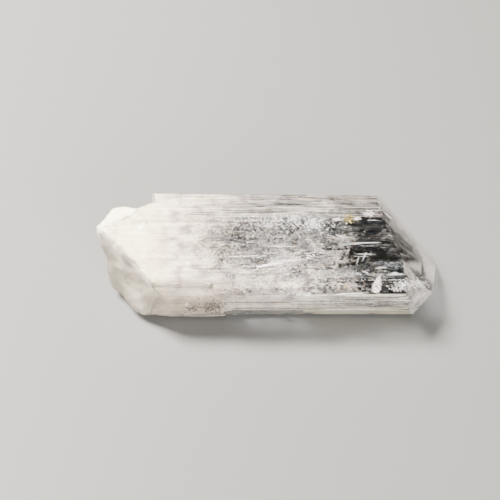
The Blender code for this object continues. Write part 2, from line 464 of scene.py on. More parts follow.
def milk(growth_lines, wisps):
    """The white cloud of tiny bubbles: dense in the base, wispy further on."""
    material, tree, shader = new_material("milky cloud")
    shader.inputs["Roughness"].default_value = 0.9
    shader.inputs["Specular IOR Level"].default_value = 0.1
    shader.inputs["Subsurface Weight"].default_value = 0.9
    shader.inputs["Subsurface Radius"].default_value = MILK_SPREAD
    shader.inputs["Subsurface Scale"].default_value = MILK_DEPTH * MM
    lines = add_group_node(tree, growth_lines, fineness=1500.0, stretch=0.12)
    streaks = add_ramp(tree, lines, MILK_STREAKS)
    mottle = add_ramp(tree, add_noise(tree, 620.0, 7.0), MILK_MOTTLE)
    colour = add_mix(tree, "MULTIPLY", 1.0, streaks, mottle)
    # Painted shade: greyer by which way the skin faces, and where the milk thins.
    colour = add_mix(tree, "MULTIPLY", add_attribute(tree, "painted_shade"), colour, MILK_SHADE_GREY)
    # Painted light: whiter on the up-facing crown, and a painted highlight along the down-facing foot.
    colour = add_mix(tree, "MIX", add_attribute(tree, "painted_light"), colour, MILK_LIGHT)
    # Beige, partly the milk's own tone and partly painted shade, on the steep break and the low front.
    colour = add_mix(tree, "MIX", add_attribute(tree, "beige_shade"), colour, MILK_BEIGE_SHADE)
    tree.links.new(colour, shader.inputs["Base Color"])
    tree.links.new(add_group_node(tree, wisps, patch_size=3000.0, spread=6.5), shader.inputs["Alpha"])
    add_bump(tree, shader, lines, MILK_RELIEF)
    return material


# Patchy materials: name, roughness, fineness and detail of the patches, and the tints they go between.
TIP_HAZE = ("tip haze", 0.7, 380.0, 3.0, (0.64, 0.58, 0.54), (0.84, 0.79, 0.73))
VEIL_FILM = ("veil film", 0.5, 500.0, 2.0, (0.80, 0.72, 0.69), (0.95, 0.92, 0.88))
SILVER_SKIN = ("silver skin", 0.2, 2500.0, 2.0, (0.80, 0.79, 0.80), (0.98, 0.97, 0.96), (0.3, 0.7))
TUBE_WHITE = ("tube white", 0.4, 900.0, 2.0, (0.82, 0.78, 0.76), (0.97, 0.96, 0.95))
IRON_YELLOW = ("iron yellow", 0.5, 4000.0, 3.0, (0.50, 0.34, 0.02), (0.95, 0.84, 0.28))
SPECK_BROWN = ("speck brown", 0.7, 4000.0, 3.0, (0.05, 0.045, 0.035), (0.24, 0.20, 0.16))
# Thin open gaps look dark, because light passes them by: their flakes and dashes are painted shade.
GAP_SHADE = ("gap shade", 0.6, 3000.0, 4.0, (0.03, 0.03, 0.034), (0.22, 0.215, 0.225), (0.4, 0.6))


def tip_haze(growth_lines):
    """A thin haze behind the tip's faces: cottony, with faint lines that run across the crystal."""
    material, tree, shader = patchy(*TIP_HAZE)
    lines = add_group_node(tree, growth_lines, fineness=5200.0, stretch=1.0, across=0.04)
    faint = add_math(tree, "MULTIPLY", lines, 0.3)
    pattern = add_math(tree, "MULTIPLY_ADD", add_noise(tree, 1700.0, 5.0), 0.7, faint)
    centred = add_math(tree, "SUBTRACT", pattern, 0.5)
    broken = add_math(tree, "MULTIPLY", centred, add_attribute(tree, "brokenness"))
    total = add_math(tree, "MULTIPLY_ADD", broken, 5.0, add_attribute(tree, "solidity"))
    total.node.use_clamp = True
    tree.links.new(total, shader.inputs["Alpha"])
    return material


def veil_film(wisps):
    """The film on a healed crack: tiny bubbles in patches and lines."""
    material, tree, shader = patchy(*VEIL_FILM)
    tree.links.new(add_group_node(tree, wisps, patch_size=1800.0, spread=5.0), shader.inputs["Alpha"])
    return material


def silver_skin():
    """Gas-filled cracks mirror the light."""
    material, tree, shader = patchy(*SILVER_SKIN)
    shader.inputs["Metallic"].default_value = 1.0
    patches = add_noise(tree, 2500.0, 2.0)
    add_ramp(tree, patches, ((0.3, 0.08), (0.7, 0.35)), shader.inputs["Roughness"])
    return material


# ---------------------------------------------------------------- the crystal itself

# The crystal's material slots.
CLEAR, TIP, BROKEN, SHADED = range(4)
# How far along the prism the break reaches, how far its cells do, and how large they are.
BREAK_REACH = -11.0
CUT_REACH = -10.0
CUT_STEP = 0.45
# Danburite's axial ratio a : b sets the turn from each of the long faces to the next.
AXIAL_RATIO = 0.5444
LATTICE_TURN = math.atan(AXIAL_RATIO)
LATTICE_TURNS = (0.0, LATTICE_TURN, math.atan(2 * AXIAL_RATIO), math.pi / 2)
# How well a long face must agree with one of those directions.
PRISM_MATCH = 0.998
# How faces lean towards an end of the crystal on the break and on the tip, and downwards underneath.
BREAK_LEANS = (0.02, 0.9998)
TIP_LEAN = 0.16
SHADED_LEAN = -0.75
# Edges sharper than this many degrees stay crisp.
CRISP_EDGE = 24.0
# Points nearer to each other than this are welded, in millimetres.
WELD = 0.001
# The end of the flat top stays crisp too: it lies past this place along the prism, above this height.
CRISP_TOP = (-17.0, 9.0)


def prism_normals():
    """The directions of the long faces, turned from the flat top by the lattice's own angles."""
    normals = []
    for turn in LATTICE_TURNS:
        for sign in (1.0, -1.0):
            angle = math.pi / 2 + LATTICE_TURN - sign * turn
            normals.append(Vector((0.0, -math.cos(angle), math.sin(angle))))
            normals.append(-normals[-1])
    return normals


PRISM_NORMALS = prism_normals()


def weld(item):
    """Joins a solid's loose triangles at their shared corners."""
    bpy.ops.object.mode_set(mode="EDIT")
    bpy.ops.mesh.select_all(action="SELECT")
    bpy.ops.mesh.remove_doubles(threshold=WELD * MM)
    bpy.ops.object.mode_set(mode="OBJECT")


def cut_into_cells(item, reach, step):
    """Cuts the faces of the broken end into small cells, in metres, so that they can be worn and rounded."""
    low, high = cad_box
    bpy.ops.object.mode_set(mode="EDIT")
    bpy.ops.mesh.select_all(action="SELECT")
    bpy.ops.mesh.bisect(plane_co=(reach, 0.0, 0.0), plane_no=(1.0, 0.0, 0.0))
    bpy.ops.mesh.select_all(action="DESELECT")
    bpy.ops.object.mode_set(mode="OBJECT")
    for polygon in item.data.polygons:
        polygon.select = polygon.center.x > reach
    bpy.ops.object.mode_set(mode="EDIT")
    bpy.ops.mesh.select_mode(type="FACE")
    bpy.ops.mesh.hide(unselected=False)
    for axis in range(3):
        last = reach if axis == 0 else high[axis]
        normal = Vector((0.0, 0.0, 0.0))
        normal[axis] = 1.0
        for index in range(int((last - low[axis]) / step)):
            bpy.ops.mesh.select_all(action="SELECT")
            bpy.ops.mesh.bisect(plane_co=normal * (low[axis] + step * (index + 0.5)), plane_no=normal)
    bpy.ops.mesh.reveal(select=False)
    bpy.ops.object.mode_set(mode="OBJECT")


def is_crisp(place):
    """Whether a place is on the crisp end of the flat top."""
    return place.x > CRISP_TOP[0] * MM and place.z > CRISP_TOP[1] * MM


# How often the whole break is smoothed first.
BREAK_SMOOTHING = 2
# The worn base: how far the smoothing reaches along the prism, and how often it is done there.
WEAR = ((-11.5, 1), (-13.0, 2), (-15.0, 2), (-17.0, 2))
# The growth ledges are worn away on the upper faces of the base, as far along as this.
LEDGE_WEAR_REACH = -10.5
LEDGE_WEAR_TIMES = 8
# Which way the worn upper faces look: at least so much upwards, and no more than so much off the end.
LEDGE_WEAR_LEANS = (0.7, -0.2)
# Shell-like ripples of the break, as fineness and amount, and how far they sink it on the whole.
BREAK_RIPPLES = ((0.55, 0.16), (1.7, 0.07))
BREAK_SINK = 0.05
# Swellings and hollows of the base in millimetres: middle, reach and how far it is pushed.
SWELLINGS = (
    ((-20.6, 3.4, 8.8), 2.0, (-0.10, 0.28, 0.34)),
    ((-21.6, -1.6, 7.4), 1.6, (-0.25, -0.30, 0.10)),
    ((-18.6, 0.6, 9.2), 2.4, (0.0, 0.0, -0.18)),
    ((-17.8, -6.2, 1.4), 2.4, (-0.55, -0.40, -0.10)),
    ((-20.6, -2.6, 4.0), 1.8, (-0.30, -0.20, 0.0)),
)
# The outline of the broken corner beside the end of the flat top, and on over the crown, from the camera.
CORNER_TOP = (154.0, 201.2)
CORNER_FOOT = (136.6, 209.0)
CROWN_TOP = (110.0, 207.0)
# How far back the corner reaches, and how many pixels it drops for each millimetre that it is lowered.
CORNER_DEPTH = 5.4
RISE_PER_MM = 5.8


def smooth_points(item, indices, times):
    """Smooths a piece's mesh at the points with these indices."""
    for vertex in item.data.vertices:
        vertex.select = vertex.index in indices
    bpy.ops.object.mode_set(mode="EDIT")
    bpy.ops.mesh.select_mode(type="VERT")
    bpy.ops.mesh.vertices_smooth(factor=0.5, repeat=times)
    bpy.ops.object.mode_set(mode="OBJECT")


def above_the_corner(place):
    """How far, in millimetres, a point stands above the sloping broken corner and the crown beside it."""
    pixel = seen_at(place)
    on_corner = pixel[0] > CORNER_FOOT[0]
    if pixel[0] > CORNER_TOP[0] or (on_corner and place.y > CORNER_DEPTH * MM):
        return 0.0
    start, end = (CORNER_FOOT, CORNER_TOP) if on_corner else (CROWN_TOP, CORNER_FOOT)
    limit = start[1] + (end[1] - start[1]) * rise(pixel[0], start[0], end[0])
    return max(0.0, limit - pixel[1]) / RISE_PER_MM


def wear_the_break(item):
    """Rounds the broken base, wears its ledges away and gives its break shallow shell-like ripples."""
    points = item.data.vertices
    broken = set()
    for polygon in item.data.polygons:
        if polygon.material_index == BROKEN:
            broken.update(index for index in polygon.vertices if not is_crisp(points[index].co))
    smooth_points(item, broken, BREAK_SMOOTHING)
    for reach, times in WEAR:
        worn = {point.index for point in points if point.co.x < reach * MM and not is_crisp(point.co)}
        smooth_points(item, worn, times)
    up, off_end = LEDGE_WEAR_LEANS
    ledges = set()
    for point in points:
        looks_up = point.normal.z > up and point.normal.x > off_end
        if looks_up and point.co.x < LEDGE_WEAR_REACH * MM and not is_crisp(point.co):
            ledges.add(point.index)
    smooth_points(item, ledges, LEDGE_WEAR_TIMES)
    outward = [point.normal.copy() for point in points]
    for point in points:
        place = point.co / MM
        if point.index in broken:
            ripple = sum(uneven(place, *ripples) for ripples in BREAK_RIPPLES)
            point.co += outward[point.index] * (ripple - BREAK_SINK) * MM
        if place.x > BREAK_REACH:
            continue
        point.co.z -= above_the_corner(point.co) * MM
        if is_crisp(point.co):
            continue
        for middle, reach, push in SWELLINGS:
            away = (place - Vector(middle)).length / reach
            point.co += Vector(push) * math.exp(-away * away) * MM
        point.co.z = max(point.co.z, 0.0)


def kind_of_face(polygon):
    """The slot for a face: faces of the break lie askew, and long faces and the ends of ledges don't."""
    along_prism = max(polygon.normal.dot(normal) for normal in PRISM_NORMALS) > PRISM_MATCH
    askew = BREAK_LEANS[0] < abs(polygon.normal.x) < BREAK_LEANS[1]
    if polygon.center.x <= BREAK_REACH * MM and askew and not along_prism:
        return BROKEN
    if polygon.normal.x > TIP_LEAN:
        return TIP
    return SHADED if polygon.normal.z < SHADED_LEAN else CLEAR


def build_crystal(*materials):
    """The outside: clear prism faces, a smooth tip and a worn, frosted break."""
    crystal = copy_of(SOLID, "danburite")
    weld(crystal)
    cut_into_cells(crystal, CUT_REACH * MM, CUT_STEP * MM)
    finish_piece(crystal, *materials)
    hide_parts("crystal")
    for polygon in crystal.data.polygons:
        polygon.material_index = kind_of_face(polygon)
    wear_the_break(crystal)
    make_active(crystal)
    bpy.ops.object.shade_smooth_by_angle(angle=math.radians(CRISP_EDGE))
    return crystal


# ---------------------------------------------------------------- what is inside it

# How far inside the crystal's faces the cloud's skin lies, and the size of its cells.
CLOUD_INSET = 0.10
CLOUD_VOXEL = 0.25
# How the cloud changes along the prism: a place in millimetres, how solid it is there, and how broken up.
CLOUD_ALONG = (
    (-23.0, (1.00, 0.10)),
    (-13.0, (1.00, 0.20)),
    (-10.5, (0.88, 0.45)),
    (-7.0, (0.58, 0.80)),
    (-3.0, (0.36, 1.00)),
    (5.0, (0.35, 1.00)),
    (8.5, (0.30, 1.00)),
    (11.0, (0.00, 0.80)),
    (23.0, (0.00, 0.60)),
)
# The same on the flat top, whose veils are drawn out into lines: it lies past a place, looks up at least so
# much, and looks to the front no more than so much.
TOP_ALONG = ((-23.0, (1.00, 0.10)), (-12.0, (0.88, 0.60)), (-2.0, (0.45, 0.85)), (17.0, (0.40, 0.80)))
TOP_FROM = 1.9
TOP_LEANS = (0.5, -0.16)
# And on the steep front, which lies before this place.
FRONT_ALONG = (
    (-23.0, (1.00, 0.10)),
    (-8.0, (0.95, 0.45)),
    (1.0, (0.84, 0.65)),
    (9.0, (0.50, 0.95)),
    (17.0, (0.42, 1.00)),
)
FRONT_FROM = -4.0
# How far the cloud's milk is drawn out into lines on the broad face, the flat top and the steep front.
FACE_STREAKS = 0.15
TOP_STREAKS = 0.9
FRONT_STREAKS = 0.6
# The undercut below the front, from this place on, and its look with its streaks.
UNDERCUT_FROM = 4.0
UNDERCUT_LOOK = (0.98, 0.40, 0.8)
# How a face of the cloud must lean to count as the tip, the front or the undercut.
CLOUD_TIP_LEAN = 0.3
FRONT_LEAN = -0.9
UNDERCUT_LEAN = -0.7
# Patches in the cloud, as fineness and amount: how they shift it along the prism, and how they thicken it.
CLOUD_SHIFT = (0.35, 1.6)
CLOUD_PATCHES = ((0.42, 0.34), (1.1, 0.16))
# Thin and thick places in the cloud: middle, reach in millimetres, and what they add to its solidity.
THIN_AND_THICK = (
    ((4.5, 1.0, 9.3), (6.0, 1.2, 2.0), -0.34),
    ((-4.5, -1.4, 8.5), (3.6, 1.8, 2.0), -0.30),
    ((-1.0, -3.6, 7.6), (1.8, 1.4, 2.0), -0.25),
    ((9.0, 0.6, 9.2), (1.6, 0.9, 2.0), -0.40),
    ((1.4, -4.6, 7.4), (1.6, 1.2, 2.0), 0.45),
    ((10.0, -1.0, 8.8), (2.2, 0.5, 1.0), 0.55),
    ((-11.5, -7.0, 6.5), (5.0, 0.8, 1.5), 0.30),
    ((-1.5, -7.4, 6.3), (6.5, 1.5, 2.0), 0.45),
    ((9.6, -8.0, 6.3), (2.2, 0.8, 2.0), 0.30),
)


def thickening(place):
    """What patches, and the thin and thick places, add to the cloud's solidity at a place."""
    total = sum(uneven(place, *patches) for patches in CLOUD_PATCHES)
    for middle, reach, amount in THIN_AND_THICK:
        away = sum(((one - other) / span) ** 2 for one, other, span in zip(place, middle, reach))
        total += amount * math.exp(-away)
    return total


# The haze on the tip: a band along its slanting edge, which two pixels give, how it thins so many pixels
# further in, and how uneven that is, as fineness and amount.
TIP_EDGE = ((378.0, 194.6), (429.0, 252.0))
TIP_BAND = ((0.0, (0.68, 0.08)), (5.0, (0.54, 0.14)), (11.0, (0.13, 0.18)), (30.0, (0.06, 0.20)))
BAND_SHIFT = (0.7, 3.0)
# The hazy point: where it starts along the prism and lies across it, how uneven and soft its rim is, and its
# look.
POINT_FROM = 19.9
POINT_SIDES = (-4.0, 2.6)
POINT_SHIFT = (1.4, 0.4)
POINT_FADE = 0.9
POINT_LOOK = (0.64, 0.10)
# A wedge of haze that reaches in from the point: where it starts and ends, its middle there, and its slope.
WEDGE = (398.0, 421.0, 263.5, 0.20)
# Half the wedge's width at its start, how much it opens for each pixel, and how soft its rim is.
WEDGE_WIDTH = 1.5
WEDGE_OPENING = 0.30
WEDGE_SOFTNESS = 0.15
# The front of the tip: how its faces lean, its upper and lower look, and the rows between the two.
TIP_FRONT_LEAN = -0.2
TIP_FRONT_LOOK = (0.44, 0.30)
TIP_FOOT_LOOK = (0.42, 0.14)
TIP_FOOT_ROWS = (287.0, 291.0)
TIP_FRONT_PATCHES = (0.9, 0.2)


def tip_look(place, normal):
    """The tip is hazy along its slanting edge and at its point, and clear between them."""
    pixel = seen_at(place * MM)
    if normal.y < TIP_FRONT_LEAN:
        solidity, brokenness = blend(TIP_FRONT_LOOK, TIP_FOOT_LOOK, rise(pixel[1], *TIP_FOOT_ROWS))
        return (solidity + uneven(place, *TIP_FRONT_PATCHES), brokenness, 0.0)
    (start_x, start_y), (end_x, end_y) = TIP_EDGE
    length = math.hypot(end_x - start_x, end_y - start_y)
    inside = ((pixel[1] - start_y) * (end_x - start_x) - (pixel[0] - start_x) * (end_y - start_y)) / length
    look = along(TIP_BAND, inside + uneven(place, *BAND_SHIFT))
    edge = min(place.x - POINT_FROM, place.y - POINT_SIDES[0], POINT_SIDES[1] - place.y)
    edge += uneven(place, *POINT_SHIFT)
    start, end, middle, slope = WEDGE
    if start < pixel[0] < end:
        reach = pixel[0] - start
        aside = abs(pixel[1] - middle - reach * slope)
        edge = max(edge, (WEDGE_WIDTH + reach * WEDGE_OPENING - aside) * WEDGE_SOFTNESS)
    return (*blend(look, POINT_LOOK, rise(edge, 0.0, POINT_FADE)), 0.0)


def cloud_look(place, normal):
    """How solid, how broken up and how streaky the cloud is at a place in millimetres on its skin."""
    reach = place.x + uneven(place, *CLOUD_SHIFT)
    in_front = place.y < FRONT_FROM
    if normal.x > CLOUD_TIP_LEAN:
        return tip_look(place, normal)
    if normal.z > TOP_LEANS[0] and normal.y > TOP_LEANS[1] and place.y > TOP_FROM:
        return (*along(TOP_ALONG, reach), TOP_STREAKS)
    if in_front and normal.y < FRONT_LEAN:
        return (*along(FRONT_ALONG, reach), FRONT_STREAKS)
    if in_front and normal.y < UNDERCUT_LEAN and place.x > UNDERCUT_FROM:
        return UNDERCUT_LOOK
    solidity, brokenness = along(CLOUD_ALONG, reach)
    return (solidity + thickening(place) * min(1.0, brokenness * 1.2), brokenness, FACE_STREAKS)


# The milk's tones, with painted light and painted shade. Each pair is where a tone starts and where it is
# full: places and heights in millimetres, or how far the skin leans.
TOWARDS_BASE = (-1.0, -8.0)
BELOW_CROWN = (8.0, 6.4)
FACING_FRONT = (0.6, 0.6 + 1.0 / 3.0)
ALONG_FOOT = (-6.6, -7.4)
LOW_FRONT_BEIGE_SHADE = 0.85
FOOT_BEIGE_SHADE = 0.7
BEIGE_SHADE_PATCHES = (0.5, 0.2)
# Where painted light whitens the milk: on the crown where it faces up, past the middle where it faces down.
ON_CROWN = (-12.5, -16.5)
FACING_UP = (0.4, 0.8)
PAST_MIDDLE = (3.0, 5.0)
FACING_DOWN = (0.3, 0.5)
# Where painted shade greys the milk: where it thins, and more near the window.
THINNING = (-11.0, -3.0)
NEAR_WINDOW = (6.5, 9.0)
SHADE_PATCHES = (0.8, 0.3)
# The painted shade's share where the skin is flat on top, left and right on the front, and low on the broad
# face.
FLAT_UP = 0.99
TOP_SHADE = 0.8
FRONT_SHADES = (0.5, 0.9)
FRONT_SPLIT = 5.0
LOW_SHADE = 0.6
LOW_FACE = (9.0, -5.5)


def cloud_beige_shade(place, normal):
    """How beige the milk is, its own tone with painted shade: white on top and at the crown, beige and
    darker on the steep break and the low front.
    """
    broken = rise(-normal.x * 1.6 - normal.z * 1.2, 0.0, 1.0) * rise(place.z, *BELOW_CROWN)
    at_base = rise(place.x, *TOWARDS_BASE)
    low_front = rise(-normal.y, *FACING_FRONT) * at_base * LOW_FRONT_BEIGE_SHADE
    foot = rise(place.y, *ALONG_FOOT) * at_base * FOOT_BEIGE_SHADE
    return max(broken, low_front, foot) + uneven(place, *BEIGE_SHADE_PATCHES)


def cloud_painted_light(place, normal):
    """How much painted light whitens the milk: on the up-facing crown of the base, and as a painted
    highlight along the down-facing foot of the front.
    """
    crown = rise(place.x, *ON_CROWN) * rise(normal.z, *FACING_UP)
    foot = rise(place.x, *PAST_MIDDLE) * rise(-normal.z, *FACING_DOWN)
    return max(crown, foot)


def cloud_painted_shade(place, normal):
    """How much painted shade greys the milk: greyer where it thins, in the middle of the broad face, on top
    and in front, by which way the skin faces.
    """
    shade_share = rise(place.x, *THINNING)
    if normal.y < FRONT_LEAN:
        shade_share *= FRONT_SHADES[0] if place.x < FRONT_SPLIT else FRONT_SHADES[1]
    elif place.x < LOW_FACE[0] and place.y < LOW_FACE[1]:
        shade_share *= LOW_SHADE
    shade_share *= TOP_SHADE if normal.z > FLAT_UP else 0.5 + 0.5 * rise(place.x, *NEAR_WINDOW)
    return shade_share + uneven(place, *SHADE_PATCHES)


def write_values(item, name, values):
    """Stores a value on each of a piece's points."""
    attribute = item.data.attributes.new(name, "FLOAT", "POINT")
    attribute.data.foreach_set("value", values)


def write_look(item, looks):
    """Stores how solid, how broken up and how streaky a piece is at each point."""
    for name, values in zip(("solidity", "brokenness", "streaks"), zip(*looks)):
        write_values(item, name, values)


def build_cloud(crystal, milky, haze):
    """The milky inside: solid white in the broken half, thinning to wisps towards the tip."""
    cloud = copy_of(crystal, "milky_cloud")
    even = cloud.modifiers.new("even", "REMESH")
    even.mode = "VOXEL"
    even.voxel_size = CLOUD_VOXEL * MM
    bpy.ops.object.modifier_apply(modifier=even.name)
    bpy.ops.object.mode_set(mode="EDIT")
    bpy.ops.mesh.select_all(action="SELECT")
    bpy.ops.transform.shrink_fatten(value=-CLOUD_INSET * MM)
    bpy.ops.object.mode_set(mode="OBJECT")
    sink_below(cloud, surface_of(crystal), CLOUD_INSET * MM)
    bpy.ops.object.shade_smooth()
    skin = [(point.co / MM, point.normal.copy()) for point in cloud.data.vertices]
    write_look(cloud, [cloud_look(*point) for point in skin])
    for name, tone in (("beige_shade", cloud_beige_shade), ("painted_light", cloud_painted_light), ("painted_shade", cloud_painted_shade)):
        write_values(cloud, name, [tone(*point) for point in skin])
    finish_piece(cloud, milky, haze)
    for polygon in cloud.data.polygons:
        polygon.material_index = 1 if polygon.normal.x > CLOUD_TIP_LEAN else 0


def make_sliver():
    """One fine tube: a drawn-out twenty-sided bead, one unit long."""
    bpy.ops.mesh.primitive_ico_sphere_add(subdivisions=1, radius=0.5)
    return bpy.context.active_object


def make_flake():
    """One flat skin of a crack, with a six-sided rim, one unit across."""
    bpy.ops.mesh.primitive_cylinder_add(vertices=6, radius=0.5, depth=0.04)
    return bpy.context.active_object


def joined_copies(name, pattern, placements):
    """One mesh of many copies of a small pattern, one for each placement matrix."""
    corners = [vertex.co.copy() for vertex in pattern.data.vertices]
    faces = [tuple(polygon.vertices) for polygon in pattern.data.polygons]
    all_corners = []
    all_faces = []
    for matrix in placements:
        start = len(all_corners)
        all_corners += [matrix @ corner for corner in corners]
        all_faces += [tuple(start + index for index in face) for face in faces]
    mesh = bpy.data.meshes.new(name)
    mesh.from_pydata(all_corners, [], all_faces)
    bpy.data.objects.remove(pattern)
    return add_object(name, mesh)


def finish_slivers(name, placements, material):
    """Joins slivers into one smooth piece."""
    item = joined_copies(name, make_sliver(), placements)
    finish_piece(item, material)
    make_active(item)
    bpy.ops.object.shade_smooth()


TUBE_SEED = 5
TUBE_COUNT = 3000
# How often a tube lies at a place along the prism, and how patches of tubes thicken, as fineness and amount.
TUBE_ALONG = ((-10.0, (0.9,)), (0.0, (1.0,)), (7.0, (0.8,)), (9.5, (0.10,)), (16.0, (0.04,)), (20.0, (0.0,)))
TUBE_PATCHES = ((0.45, 0.9), (1.3, 0.5))
# Where tubes lie, how long and wide they are and how far in, in millimetres, and their lean in radians.
TUBE_REACH = (-10.0, 19.5)
TUBE_LENGTH = 2.2
TUBE_WIDTHS = (0.03, 0.09)
TUBE_INSET = 0.12
TUBE_LEAN = 0.03
# Past this place on either side of the middle, a tube's far end is kept inside too.
TUBE_ENDS_FROM = 8.0


def build_tubes(material):
    """Fine tubes along the prism, dense in the middle of the crystal."""
    rng = random.Random(TUBE_SEED)
    low, high = cad_box
    placements = []
    while len(placements) < TUBE_COUNT:
        middle = rng.uniform(*TUBE_REACH) * MM
        place = Vector((middle, rng.uniform(low[1], high[1]), rng.uniform(0.0, high[2])))
        length = rng.uniform(0.25, 1.0) ** 2 * TUBE_LENGTH * MM
        patch = sum(uneven(place / MM, *patches) for patches in TUBE_PATCHES)
        if rng.random() > along(TUBE_ALONG, place.x / MM)[0] * max(0.05, min(1.0, 0.5 + patch)):
            continue
        if depth_of(place) < TUBE_INSET * MM:
            continue
        end = Vector((math.copysign(length / 2, place.x), 0.0, 0.0))
        if abs(place.x) > TUBE_ENDS_FROM * MM and depth_of(place + end) < TUBE_INSET * MM:
            continue
        width = rng.uniform(*TUBE_WIDTHS) * MM
        tilt = Matrix.Rotation(rng.gauss(0.0, TUBE_LEAN), 4, "Y")
        tilt @= Matrix.Rotation(rng.gauss(0.0, TUBE_LEAN), 4, "Z")
        size = Matrix.Diagonal((length, width, width * rng.uniform(0.5, 1.0), 1.0))
        placements.append(Matrix.Translation(place) @ tilt @ size)
    finish_slivers("growth_tubes", placements, material)


# Patches of flakes close under the faces: middle and reach as they show from the camera, how many there are,
# and their least and greatest size and depth in millimetres. Below zero, they lie on the faces.
SPARKLE_SEED = 9
SPARKLE_PATCHES = (
    ((303.0, 221.0), (42.0, 7.0), 500, (0.05, 0.26), (0.02, 0.3)),
    ((283.0, 264.0), (14.0, 9.0), 130, (0.05, 0.20), (0.02, 0.3)),
    ((250.0, 250.0), (36.0, 36.0), 420, (0.04, 0.16), (0.02, 0.2)),
    ((310.0, 262.0), (40.0, 30.0), 300, (0.04, 0.16), (0.02, 0.2)),
    ((408.0, 285.0), (20.0, 6.0), 200, (0.06, 0.26), (0.1, 0.8)),
    ((368.0, 214.0), (7.0, 3.0), 60, (0.06, 0.26), (0.02, 0.3)),
    ((356.0, 272.0), (24.0, 5.0), 120, (0.05, 0.24), (0.1, 0.8)),
)
STAIN_SEED = 10
STAIN_PATCHES = (
    ((349.0, 218.5), (8.0, 5.0), 80, (0.05, 0.24), (0.0, 0.08)),
    ((345.5, 286.5), (3.0, 2.0), 16, (0.05, 0.18), (0.0, 0.08)),
)
SPECK_SEED = 11
SPECK_PATCHES = (
    ((191.0, 309.0), (10.0, 3.0), 70, (0.08, 0.32), (-0.02, 0.02)),
    ((213.0, 307.0), (14.0, 7.0), 190, (0.08, 0.34), (-0.02, 0.02)),
    ((200.0, 301.0), (24.0, 6.0), 40, (0.06, 0.22), (-0.02, 0.02)),
    ((240.0, 294.0), (30.0, 10.0), 90, (0.05, 0.24), (-0.02, 0.02)),
)
SNOW_SEED = 13
SNOW_PATCHES = (
    ((290.0, 219.0), (44.0, 5.0), 440, (0.06, 0.28), (0.0, 0.08)),
    ((305.0, 225.0), (38.0, 6.0), 260, (0.06, 0.30), (0.0, 0.08)),
    ((270.0, 223.5), (9.0, 3.0), 190, (0.06, 0.26), (-0.03, 0.03)),
    ((295.0, 217.5), (5.0, 3.0), 90, (0.06, 0.26), (-0.03, 0.03)),
    ((313.0, 225.0), (8.0, 5.0), 210, (0.06, 0.28), (-0.03, 0.03)),
    ((283.0, 264.0), (13.0, 10.0), 520, (0.05, 0.24), (-0.03, 0.06)),
    ((247.0, 222.0), (24.0, 8.0), 260, (0.05, 0.18), (-0.02, 0.08)),
    ((265.0, 244.0), (44.0, 30.0), 1500, (0.03, 0.13), (0.0, 0.10)),
    ((318.0, 258.0), (26.0, 34.0), 700, (0.03, 0.13), (0.0, 0.10)),
    ((411.0, 284.0), (18.0, 4.0), 420, (0.05, 0.24), (0.0, 0.08)),
    ((399.0, 289.5), (9.0, 2.0), 110, (0.05, 0.22), (0.0, 0.08)),
    # A painted glint, as a tight patch of white flakes.
    ((393.0, 273.8), (9.0, 1.2), 90, (0.05, 0.20), (0.05, 0.3)),
    ((369.0, 213.5), (6.0, 2.5), 140, (0.06, 0.26), (0.02, 0.15)),
    ((350.0, 274.0), (16.0, 3.0), 150, (0.05, 0.20), (0.10, 0.5)),
    ((390.0, 244.0), (26.0, 20.0), 60, (0.03, 0.09), (0.05, 0.8)),
    ((300.0, 295.5), (60.0, 4.0), 160, (0.04, 0.16), (-0.03, 0.03)),
    ((240.0, 276.0), (26.0, 8.0), 150, (0.04, 0.16), (-0.03, 0.03)),
    ((184.0, 262.0), (40.0, 26.0), 160, (0.03, 0.12), (-0.03, 0.01)),
)
# Flecks of painted shade in the open gaps.
GAP_SEED = 14
GAP_PATCHES = (
    ((258.0, 246.0), (34.0, 34.0), 900, (0.04, 0.15), (0.0, 0.10)),
    ((300.0, 224.0), (46.0, 14.0), 700, (0.06, 0.24), (0.0, 0.08)),
    ((312.0, 262.0), (34.0, 30.0), 600, (0.04, 0.14), (0.0, 0.10)),
    ((262.0, 292.0), (50.0, 16.0), 300, (0.04, 0.13), (0.0, 0.06)),
    ((200.0, 233.0), (16.0, 12.0), 120, (0.03, 0.09), (-0.02, 0.04)),
)
# How wide a flake is for its length, and how much of its pattern's thickness it has for its length.
FLAKE_ACROSS = (0.4, 0.9)
FLAKE_THICKNESS = 0.6


def flake_patch(middle, reach, count, sizes, depths, rng):
    """Placements of the flakes in a patch."""
    placements = []
    for _ in range(count):
        pixel = (rng.gauss(middle[0], reach[0] / 2), rng.gauss(middle[1], reach[1] / 2))
        place = beneath(pixel, rng.uniform(*depths))
        if place is None:
            continue
        axis = (rng.gauss(0, 1), rng.gauss(0, 1), rng.gauss(0, 1))
        turn = Matrix.Rotation(rng.uniform(0.0, math.tau), 4, axis)
        length = rng.uniform(*sizes) * MM
        across = length * rng.uniform(*FLAKE_ACROSS)
        size = Matrix.Diagonal((length, across, length * FLAKE_THICKNESS, 1.0))
        placements.append(Matrix.Translation(place) @ turn @ size)
    return placements


def scatter_flakes(name, patches, seed, material):
    """Small flat skins in patches, as one piece."""
    rng = random.Random(seed)
    placements = []
    for patch in patches:
        placements += flake_patch(*patch, rng)
    finish_piece(joined_copies(name, make_flake(), placements), material)


STREAK_SEED = 12
